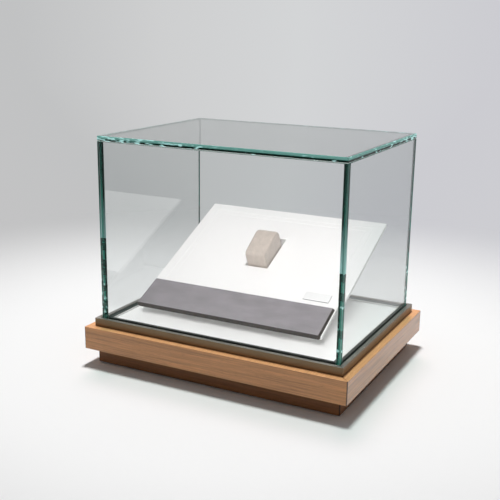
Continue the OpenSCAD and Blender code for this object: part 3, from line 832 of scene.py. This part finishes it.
def pane(node, thin_axis):
    """One pane: a chamfered plate drawn flat, with its thickness up, then laid along its own axis.
    Its narrow faces carry edge = 1. Its map gives the metres along them, as the sum of the two long
    coordinates, and how far across the thickness, from the inner face to the outer."""
    low, high = (np.array(corner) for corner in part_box(node))
    bond = sizes().glass_bond
    low, high = low + bond, high - bond
    order = [axis for axis in range(3) if axis != thin_axis] + [thin_axis]
    points, faces = plate(low[order], high[order], sizes().glass_arris)
    placed = np.zeros_like(points)
    placed[..., order] = points
    if thin_axis == 1:
        faces = [list(face)[::-1] for face in faces]
    piece = make_mesh(node + "_pane", placed, faces)
    edge = np.ones(len(faces), np.float32)
    edge[-2:] = 0
    piece.data.attributes.new("edge", "FLOAT", "FACE").data.foreach_set("value", edge)
    corners = corner_values(piece.data)[0]
    inner, outer = sorted((low[thin_axis], high[thin_axis]), key=abs)
    along = corners[:, order[0]] + corners[:, order[1]] + low[thin_axis]
    give_map(piece, "along_edge", along, (corners[:, thin_axis] - inner) / (outer - inner))
    return piece


def build_glass():
    """The five panes of the bonnet. Four are coated. The left one isn't, and mirrors the ramp."""
    coated = float_glass("coated_glass", colours().pane, bend=1.5, shine=0.4)
    plain = float_glass("plain_glass", shade(colours().pane, 1.055), bend=1.68, shine=1.0)
    for name, thin_axis in (("front", 1), ("back", 1), ("left", 0), ("right", 0), ("top", 2)):
        node = "glass_" + name
        glass = plain if name == "left" else coated
        place_piece(pane(node, thin_axis), BONNET_BODY, "bonnet_glass", (glass,), node)


# The ramp

def ramp_axes():
    """The ramp's frame as a matrix: X across, Y up the slope, Z out of it. Its slope comes from the
    cushion's joint, and its origin is under the front edge of the board."""
    axis = next(j["axis"] for j in frame["joints"] if j["name"] == "cushion_lift")
    out = Vector(axis).normalized()
    across = Vector((1, 0, 0))
    up_slope = out.cross(across)
    low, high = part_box("ramp_board")
    depth, rise = high.y - low.y, high.z - low.z
    thickness = (rise * up_slope.y - depth * up_slope.z) / (out.z * up_slope.y + out.y * up_slope.z)
    turn = Matrix((across, up_slope, out)).transposed().to_4x4()
    turn.translation = Vector((0, low.y - thickness * out.y, low.z))
    return turn


RAMP = ramp_axes()


def ramp_box(node):
    """A node's lowest and highest corners in the ramp's frame."""
    back = np.array(RAMP.inverted())
    places = read(frame["nodes"][node].data.vertices, "co", 3) @ back[:3, :3].T + back[:3, 3]
    return places.min(0), places.max(0)


def on_ramp(points):
    """Points of the ramp's frame in the case's frame."""
    turn = np.array(RAMP)
    return np.asarray(points) @ turn[:3, :3].T + turn[:3, 3]


def merged_copy(node, name):
    """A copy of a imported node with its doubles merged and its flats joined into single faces."""
    mesh = frame["nodes"][node].data.copy()
    mesh.name = name
    mesh.materials.clear()
    grid = bmesh.new()
    grid.from_mesh(mesh)
    bmesh.ops.remove_doubles(grid, verts=grid.verts, dist=0.002 * MM)
    bmesh.ops.dissolve_limit(grid, angle_limit=math.radians(1), verts=grid.verts, edges=grid.edges)
    grid.to_mesh(mesh)
    grid.free()
    return new_object(name, mesh)


def build_board():
    """The covered board with its two border lines and its cut-out, and what is under it."""
    board = merged_copy("ramp_board", "ramp_board_cover")
    ease(board, sizes().board_arris, 2, smooth=False)
    cover = white_panel("board_cover", colours().board, 0.5, 0.64, 1100, 0.03 * MM)
    place_piece(board, RAMP_BODY, "ramp_white", (cover,), "ramp_board")
    painted = white_panel("ramp_paint", shade(colours().board, 0.97), 0.45, 0.6, 700, 0.02 * MM)
    dress(["cushion_tray", "ramp_bracket_left", "ramp_bracket_right", "ramp_tie_rail"], painted)
    dress(["ramp_cleats"], plywood())
    dress(["cleat_screws", "tie_rail_screws"], zinc_steel())
    dress(["ramp_pads"], felt())


def build_label():
    """The plain plate at the right of the board, with a darker rim: painted shade along its sides."""
    label = merged_copy("label_plate", "label_plate_white")
    upward = read(label.data.polygons, "normal", 3) @ np.array(RAMP.col[2][:3])
    give_materials(label, np.abs(upward) < 0.5)
    ease(label, sizes().label_arris, 2, smooth=False)
    face = white_panel("label_paint", colours().label, 0.45, 0.55, 900, 0.01 * MM)
    # Painted shade: the plate's sides are darker.
    rim = white_panel("label_rim_painted_shade", shade(colours().label, 0.25), 0.6, 0.7, 900, 0.02 * MM)
    place_piece(label, RAMP_BODY, "label_white", (face, rim), "label_plate")


def round_skirt(piece, count):
    """Rounds the two lower corners of the band's skirt: the edges from the outline's first point to
    its second, at both ends. The outline has so many points."""
    ends = np.sort(read(piece.data.edges, "vertices", 2, np.int32) % count, axis=1)
    sharp = (ends == (0, 1)).all(1)
    weights = piece.data.attributes.new("bevel_weight_edge", "FLOAT", "EDGE")
    weights.data.foreach_set("value", sharp.astype(np.float32))
    bevel = piece.modifiers.new("round corners", "BEVEL")
    bevel.width = sizes().band_corner
    bevel.segments = 6
    bevel.limit_method = "WEIGHT"


def build_band():
    """The front band: a covered plate on the board whose skirt hangs over the board's front edge.
    Its outline, up the slope and out of it, is carried across the ramp. Each end slopes down in two
    faces: upright to the rim's foot, then in to the top."""
    low, high = ramp_box("front_band")
    board_top = ramp_box("label_plate")[0][2]
    slope = sizes().band_slope
    foot = high[2] - slope
    outline = np.array([[low[1], 0], [0, 0], [0, board_top], [high[1], board_top], [high[1], foot],
                        [high[1], high[2]], [low[1], high[2]], [low[1], foot]])
    count, top_face = len(outline), 5
    inset = np.array([0, 0, 0, 0, 0, slope, slope, 0])
    points, faces = prism(outline, low[0] + inset, high[0] - inset)
    upright, rim = np.array([0, 1, 2, 3, 4, 7]), np.array([4, 5, 6, 7])
    faces = faces[:count] + [upright[::-1], rim[::-1], upright + count, rim + count]
    piece = make_mesh("front_band_cover", on_ramp(points), faces)
    # All but the top face take the near-black painted shade.
    give_materials(piece, np.arange(len(faces)) != top_face)
    round_skirt(piece, count)
    ease(piece, sizes().band_arris, 4)
    place_piece(piece, RAMP_BODY, "band_leather", (band_cover(), band_painted_shade()), "front_band")


# The cushion

def cushion_outline(length, count):
    """The cushion's side outline, evenly spaced, and its outward normals. It has two foot arcs, a
    large arc at the top back and a smaller one at the top front, under a top line that rises to the
    back. Arcs keep their place on straight lines, so each point is found along the whole length."""
    front, back = sizes().cushion_front, sizes().cushion_back
    foot, back_round, front_round = 5 * MM, 15 * MM, 10 * MM
    tilt = math.atan2(back - front, length)

    def under_top(along, radius):
        """Middle of an arc that touches the top line."""
        return along, front + (math.sin(tilt) * along - radius) / math.cos(tilt)

    top = 90 + math.degrees(tilt)
    corners = np.vstack([
        arc((foot, foot), foot, 180, 270, 24),
        arc((length - foot, foot), foot, 270, 360, 24),
        arc(under_top(length - back_round, back_round), back_round, 0, top, 48),
        arc(under_top(front_round, front_round), front_round, top, 180, 40),
    ])
    closed = np.vstack([corners, corners[:1]])
    travelled = np.concatenate([[0], np.cumsum(np.linalg.norm(np.diff(closed, axis=0), axis=1))])
    at = np.linspace(0, travelled[-1], count, endpoint=False)
    points = np.column_stack([np.interp(at, travelled, closed[:, axis]) for axis in (0, 1)])
    ahead = np.roll(points, -1, axis=0) - np.roll(points, 1, axis=0)
    ahead /= np.linalg.norm(ahead, axis=1)[:, None]
    return points, np.column_stack([ahead[:, 1], -ahead[:, 0]])


def cushion_rings(half_width, length):
    """Rings of the slack cushion from one side's middle to the other's, each a place across and a
    loop of points. Over the top the loop stands out by a crown that fades to the shoulders. Round a
    shoulder it is drawn in by a quarter circle. On a side it shrinks to the middle, and the side
    bulges by one less the square of its share. The last value is the share of a ring in the seam."""
    outline, normals = cushion_outline(length, 112)
    swell, crown, radius = sizes().cushion_swell, sizes().cushion_crown, sizes().cushion_shoulder
    bulge = 0.4 * MM
    flat = half_width - swell - bulge
    turn = np.radians(np.linspace(0, 90, 7)[1:])
    over = np.linspace(0, flat - radius, 9)
    share = np.concatenate([[0.972], np.linspace(0.93, 0.06, 11)])
    place = np.concatenate([over, flat - radius + radius * np.sin(turn),
                            flat + bulge * (1 - share ** 2)])
    out = np.concatenate([(crown - swell) * (1 - (over / flat) ** 2), -radius * (1 - np.cos(turn)),
                          np.full(len(share), -radius)]) - swell
    shoulder_end = len(over) + len(turn)
    shrink = np.concatenate([np.ones(shoulder_end), share])
    seam = np.arange(len(place)) == shoulder_end - 1
    order = np.concatenate([np.arange(len(place))[::-1], np.arange(1, len(place))])
    sign = np.concatenate([-np.ones(len(place)), np.ones(len(place) - 1)])
    middle = outline.mean(0)
    loops = outline[None] + normals[None] * out[order][:, None, None]
    loops = middle + (loops - middle) * shrink[order][:, None, None]
    return sign * place[order], loops, seam[order]


def fill_with_air(piece, held, furthest):
    """Lets a slack cover be filled: cloth under pressure with no gravity for twenty steps, ten times
    its size, with the held points still. No point moves more than furthest."""
    scale, steps, pressure = 10.0, 20, 4.0
    scene, mesh = bpy.context.scene, piece.data
    start = read(mesh.vertices, "co", 3)
    mesh.vertices.foreach_set("co", (start * scale).ravel())
    group = piece.vertex_groups.new(name="held")
    group.add(np.flatnonzero(held).tolist(), 1.0, "REPLACE")
    cloth = piece.modifiers.new("filling", "CLOTH")
    cloth.settings.use_pressure = True
    cloth.settings.uniform_pressure_force = pressure
    cloth.settings.effector_weights.gravity = 0.0
    cloth.settings.vertex_group_mass = "held"
    cloth.point_cache.frame_start, cloth.point_cache.frame_end = 1, steps
    for step in range(1, steps + 1):
        scene.frame_set(step)
    shaped = piece.evaluated_get(bpy.context.evaluated_depsgraph_get())
    filled = read(shaped.data.vertices, "co", 3)
    scene.frame_set(1)
    piece.modifiers.remove(cloth)
    piece.vertex_groups.remove(group)
    moved = filled / scale - start
    far = np.maximum(np.linalg.norm(moved, axis=1), 1e-9)[:, None]
    placed = start + moved / far * furthest * np.tanh(far / furthest)
    mesh.vertices.foreach_set("co", placed.ravel())
    mesh.update()
    return placed


def build_cushion():
    """The stuffed cushion: a slack cover, filled by a cloth run, with a seam round each side. It is
    flat where it stands on the tray."""
    low, high = ramp_box("display_cushion")
    crown, swell = sizes().cushion_crown, sizes().cushion_swell
    foot_rise, room = 2 * MM, 0.05 * MM
    place, loops, seam = cushion_rings((high[0] - low[0]) / 2, high[1] - low[1] - 2 * crown)
    rings, around = loops.shape[:2]
    points = np.zeros((rings, around, 3))
    points[..., 0] = place[:, None] + (low[0] + high[0]) / 2
    points[..., 1:] = loops + low[1:] + crown
    flat = points.reshape(-1, 3)
    ends = [list(range(around)), list(range((rings - 1) * around, rings * around))[::-1]]
    faces = list(grid_faces(rings, around)[:, ::-1]) + ends
    piece = make_mesh("display_cushion_cover", flat, faces, smooth=True)
    on_tray = flat[:, 2] < low[2] + crown + swell + foot_rise
    flat = fill_with_air(piece, on_tray, swell)
    grid = flat.reshape(rings, around, 3).copy()
    inward = np.zeros_like(grid)
    inward[..., 1:] = grid[..., 1:].mean((0, 1))[None, None] - grid[..., 1:]
    inward[..., 0] = -np.sign(place)[:, None] * np.linalg.norm(inward, axis=2)
    inward /= np.linalg.norm(inward, axis=2)[..., None]
    grid += inward * (seam * sizes().seam_depth)[:, None, None]
    grid = np.clip(grid, low + room, high - room)
    piece.data.vertices.foreach_set("co", on_ramp(grid.reshape(-1, 3)).ravel())
    piece.data.update()
    smoother = piece.modifiers.new("smooth cover", "SUBSURF")
    smoother.levels = smoother.render_levels = 1
    place_piece(piece, CUSHION_BODY, "cushion_leather", (cushion_cover(),), "display_cushion")


# The stage

# The camera, as it stands to the case's straight edges, and its lens in pixels of the picture
CAMERA_PLACE = Vector((0.58539, -1.17492, 0.52443))
CAMERA_YAW, CAMERA_PITCH, CAMERA_ROLL = math.radians(27.16), math.radians(14.85), math.radians(0.81)
CAMERA_SENSOR = 36.0
CAMERA_FOCAL_PIXELS = 853.06
PICTURE_SIDE = 500
# The pale pool of floor round the case: its middle, and where it starts and ends to turn grey
POOL_MIDDLE = (-0.02, 0.01, 0.0)
POOL_EDGE = (0.36, 1.12)
# Greys of the backdrop from the left, 0, to the right, 1, with a painted pool of light in the lighter
# greys round 0.3, and of the dark room in front of it
BACKDROP_STOPS = (
    (0.05, (0.545, 0.545, 0.55)), (0.15, (0.535, 0.54, 0.545)), (0.22, (0.62, 0.625, 0.63)),
    (0.30, (0.655, 0.665, 0.675)), (0.42, (0.605, 0.605, 0.64)), (0.56, (0.61, 0.61, 0.64)),
)
DARK_ROOM = (0.2, 0.2, 0.2)
# Levels of the sky: the one that shows, and the one that lights
SKY_SHOWN, SKY_LEVEL = 0.6, 0.165


def build_camera():
    """The camera at the photograph's angle: rolled, tipped down from level and turned by its yaw."""
    level_pitch = math.pi / 2
    turn = (Matrix.Rotation(CAMERA_YAW, 4, "Z") @ Matrix.Rotation(level_pitch - CAMERA_PITCH, 4, "X")
            @ Matrix.Rotation(CAMERA_ROLL, 4, "Z"))
    lens = bpy.data.cameras.new("camera")
    lens.sensor_width = CAMERA_SENSOR
    lens.lens = CAMERA_FOCAL_PIXELS / PICTURE_SIDE * CAMERA_SENSOR
    lens.clip_end = 50
    camera = new_object("camera", lens)
    camera.matrix_world = Matrix.Translation(CAMERA_PLACE) @ turn
    bpy.context.scene.camera = camera


def area_lamp(name, place, target, across, watts, lit):
    """A rectangular lamp, so wide and so high, that faces a target and lights a group of pieces."""
    lamp = bpy.data.lights.new(name, "AREA")
    lamp.shape = "RECTANGLE"
    lamp.size, lamp.size_y = across
    lamp.energy = watts
    holder = new_object(name, lamp)
    holder.location = place
    holder.rotation_euler = (Vector(target) - Vector(place)).to_track_quat("-Z", "Y").to_euler()
    holder.visible_camera = False
    holder.light_linking.receiver_collection = lit


def group_for_lamp(name, pieces, state):
    """A collection that tells a lamp which pieces it lights, or which it leaves out."""
    group = bpy.data.collections.new(name)
    for piece in pieces:
        group.objects.link(piece)
    for item in group.collection_objects:
        item.light_linking.link_state = state
    return group


def inside_pieces():
    """The pieces inside the bonnet that lamps of their own light: the ramp, the cushion, the deck."""
    bodies = [frame["bodies"][name] for name in (RAMP_BODY, CUSHION_BODY)]
    inside = [piece for piece in bpy.context.scene.objects if piece.parent in bodies]
    return inside + [bpy.data.objects["deck_laminate"]]


def seen_directly(tree):
    """1 for what the camera sees, straight or in metal or glass."""
    path = add(tree, "LightPath")
    return path["Is Camera Ray"].either(path["Is Glossy Ray"]).either(path["Is Transmission Ray"])


def mirrored_inside(tree):
    """1 for what the panes mirror on their way through the bonnet."""
    path = add(tree, "LightPath")
    return (path["Glossy Depth"] > 0.5) * (path["Transmission Depth"] > 0.5)


def floor_finish():
    """Plain matte floor, which turns into a grey backdrop away from the case, with a painted pool of
    light, and into a dark room in front of it. Where the panes mirror it from inside, the floor is
    painted as the dark room on every side: a painted dark reflection."""
    def fill(tree):
        cloud = noise(tree, object_point(tree, 3), 2.0)
        near = principled(tree, Base_Color=toned(tree, cloud, colours().floor, 0.995, 1.005),
                          Roughness=0.75, Specular_IOR_Level=0.2)
        place = object_point(tree)
        away = add(tree, "VectorMath", {"operation": "DISTANCE"}, {0: place, 1: POOL_MIDDLE})["Value"]
        reach = {"Value": away, "From Min": POOL_EDGE[0], "From Max": POOL_EDGE[1]}
        far_off = add(tree, "MapRange", {"interpolation_type": "SMOOTHSTEP"}, reach)[0]
        way = parts(tree, add(tree, "VectorMath", {"operation": "NORMALIZE"}, {0: place})[0])
        level = add(tree, "ValToRGB", {"stops": BACKDROP_STOPS}, {0: way["X"] * 0.5 + 0.5})[0]
        # Painted reflection: what the panes mirror from inside is dark.
        painted_dark_reflection = mirrored_inside(tree)
        for share in (spread(tree, way["Y"], -0.9, -0.2, 0.8, 0.0), painted_dark_reflection):
            level = mixed(tree, share, level, solid(DARK_ROOM))
        far = add(tree, "Emission", None, {"Color": level, "Strength": 1.0})[0]
        shown = (far_off * seen_directly(tree)).either(painted_dark_reflection * 0.9)
        return add(tree, "MixShader", None, {0: shown, 1: near, 2: far})[0]
    return finish("studio_floor", fill)


def build_floor():
    """A round floor that curves up into a backdrop far away on every side. Its profile, a radius
    and a height, runs out, bends through a quarter circle and rises. It is carried round."""
    reach, radius, height, turns = 7.0, 2.0, 5.0, 96
    flat_radii = np.array([0.001, 0.4, 0.8, 1.6, 3.2])
    flat = np.column_stack([flat_radii, np.zeros(len(flat_radii))])
    bend = arc((reach, radius), radius, 270, 360, 12)
    profile = np.vstack([flat, bend, [[reach + radius, height]]])
    angle = np.linspace(0, 2 * math.pi, turns, endpoint=False)
    points = np.zeros((len(profile), turns, 3))
    points[..., 0] = profile[:, :1] * np.cos(angle)
    points[..., 1] = profile[:, :1] * np.sin(angle)
    points[..., 2] = profile[:, 1:]
    faces = list(grid_faces(len(profile), turns)[:, ::-1]) + [list(range(turns))]
    piece = make_mesh("studio_floor", points, faces, smooth=True)
    piece.data.materials.append(floor_finish())


def build_world():
    """A soft even sky that the camera sees as the backdrop's grey."""
    world = bpy.data.worlds.new("studio")
    tree = empty_tree(world)
    level = seen_directly(tree) * (SKY_SHOWN - SKY_LEVEL) + SKY_LEVEL
    sky = add(tree, "Background", None, {"Color": solid((1, 1, 1)), "Strength": level})[0]
    add(tree, "OutputWorld", None, {"Surface": sky})
    bpy.context.scene.world = world


def build_stage():
    """The camera, the floor, the sky and the lamps. One lamp lights all but what is inside the
    bonnet, three light that, and one the deck alone."""
    scene = bpy.context.scene
    scene.view_settings.view_transform = "Standard"
    scene.cycles.glossy_bounces = 12
    scene.cycles.transmission_bounces = 24
    scene.cycles.max_bounces = 28
    scene.cycles.transparent_max_bounces = 24
    build_camera()
    build_floor()
    build_world()
    spared = group_for_lamp("spared_by_key", inside_pieces(), "EXCLUDE")
    inside = group_for_lamp("inside_bonnet", inside_pieces(), "INCLUDE")
    deck = group_for_lamp("deck_alone", [bpy.data.objects["deck_laminate"]], "INCLUDE")
    from_front = (0.855, -2.14, 1.5), (0, -0.05, 0.13), (0.57, 0.57)
    area_lamp("key", (-0.5, 0.9, 4.75), (0, 0, 0.1), (0.65, 0.65), 206, spared)
    area_lamp("inner_front", *from_front, 73, inside)
    area_lamp("inner_back", (0.1, 2.0, 1.3), (0, 0, 0.13), (0.57, 0.57), 13, inside)
    area_lamp("inner_top", (0.1, -0.45, 1.5), (0, 0, 0.12), (0.9, 0.7), 5.5, inside)
    area_lamp("deck_front", *from_front, 26, deck)


# Operators and the panel

class CASE_OT_base(bpy.types.Operator):
    """Build the slab and the plinth"""

    bl_idname = "case.base"
    bl_label = "Wooden base"

    def execute(self, context):
        build_base()
        return {"FINISHED"}


class CASE_OT_frame(bpy.types.Operator):
    """Build the metal channel"""

    bl_idname = "case.frame"
    bl_label = "Metal frame"

    def execute(self, context):
        build_frame()
        return {"FINISHED"}


class CASE_OT_gasket(bpy.types.Operator):
    """Build the rubber channel round the glass"""

    bl_idname = "case.gasket"
    bl_label = "Gasket"

    def execute(self, context):
        build_gasket()
        return {"FINISHED"}


class CASE_OT_deck(bpy.types.Operator):
    """Build the white deck panel"""

    bl_idname = "case.deck"
    bl_label = "Deck"

    def execute(self, context):
        build_deck()
        return {"FINISHED"}


class CASE_OT_board(bpy.types.Operator):
    """Build the ramp's board"""

    bl_idname = "case.board"
    bl_label = "Board"

    def execute(self, context):
        build_board()
        return {"FINISHED"}


class CASE_OT_label(bpy.types.Operator):
    """Build the plain label plate"""

    bl_idname = "case.label"
    bl_label = "Label plate"

    def execute(self, context):
        build_label()
        return {"FINISHED"}


class CASE_OT_band(bpy.types.Operator):
    """Build the ramp's front band"""

    bl_idname = "case.band"
    bl_label = "Front band"

    def execute(self, context):
        build_band()
        return {"FINISHED"}


class CASE_OT_cushion(bpy.types.Operator):
    """Build the display cushion"""

    bl_idname = "case.cushion"
    bl_label = "Cushion"

    def execute(self, context):
        build_cushion()
        return {"FINISHED"}


class CASE_OT_glass(bpy.types.Operator):
    """Build the five panes"""

    bl_idname = "case.glass"
    bl_label = "Glass bonnet"

    def execute(self, context):
        build_glass()
        return {"FINISHED"}


class CASE_OT_stage(bpy.types.Operator):
    """Build the floor, the light and the camera"""

    bl_idname = "case.stage"
    bl_label = "Stage"

    def execute(self, context):
        build_stage()
        return {"FINISHED"}


OPERATORS = (
    CASE_OT_base, CASE_OT_frame, CASE_OT_gasket, CASE_OT_deck, CASE_OT_board,
    CASE_OT_label, CASE_OT_band, CASE_OT_cushion, CASE_OT_glass, CASE_OT_stage,
)


class CASE_PT_builder(bpy.types.Panel):
    """Lists the case's building steps"""

    bl_label = "Display case"
    bl_space_type = "VIEW_3D"
    bl_region_type = "UI"
    bl_category = "Case"

    def draw(self, context):
        for kind in OPERATORS:
            self.layout.operator(kind.bl_idname)


CLASSES = (CaseSizes, CaseColours, *OPERATORS, CASE_PT_builder)


def register():
    """Registers the classes, and gives the scene its sizes and colours."""
    for kind in CLASSES:
        bpy.utils.register_class(kind)
    bpy.types.Scene.case_sizes = PointerProperty(type=CaseSizes)
    bpy.types.Scene.case_colours = PointerProperty(type=CaseColours)


def unregister():
    """Takes back what register did."""
    del bpy.types.Scene.case_colours
    del bpy.types.Scene.case_sizes
    for kind in reversed(CLASSES):
        bpy.utils.unregister_class(kind)


def main():
    """Registers the add-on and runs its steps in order."""
    register()
    for kind in OPERATORS:
        getattr(bpy.ops.case, kind.bl_idname.split(".")[1])()


if __name__ == "__main__":
    main()
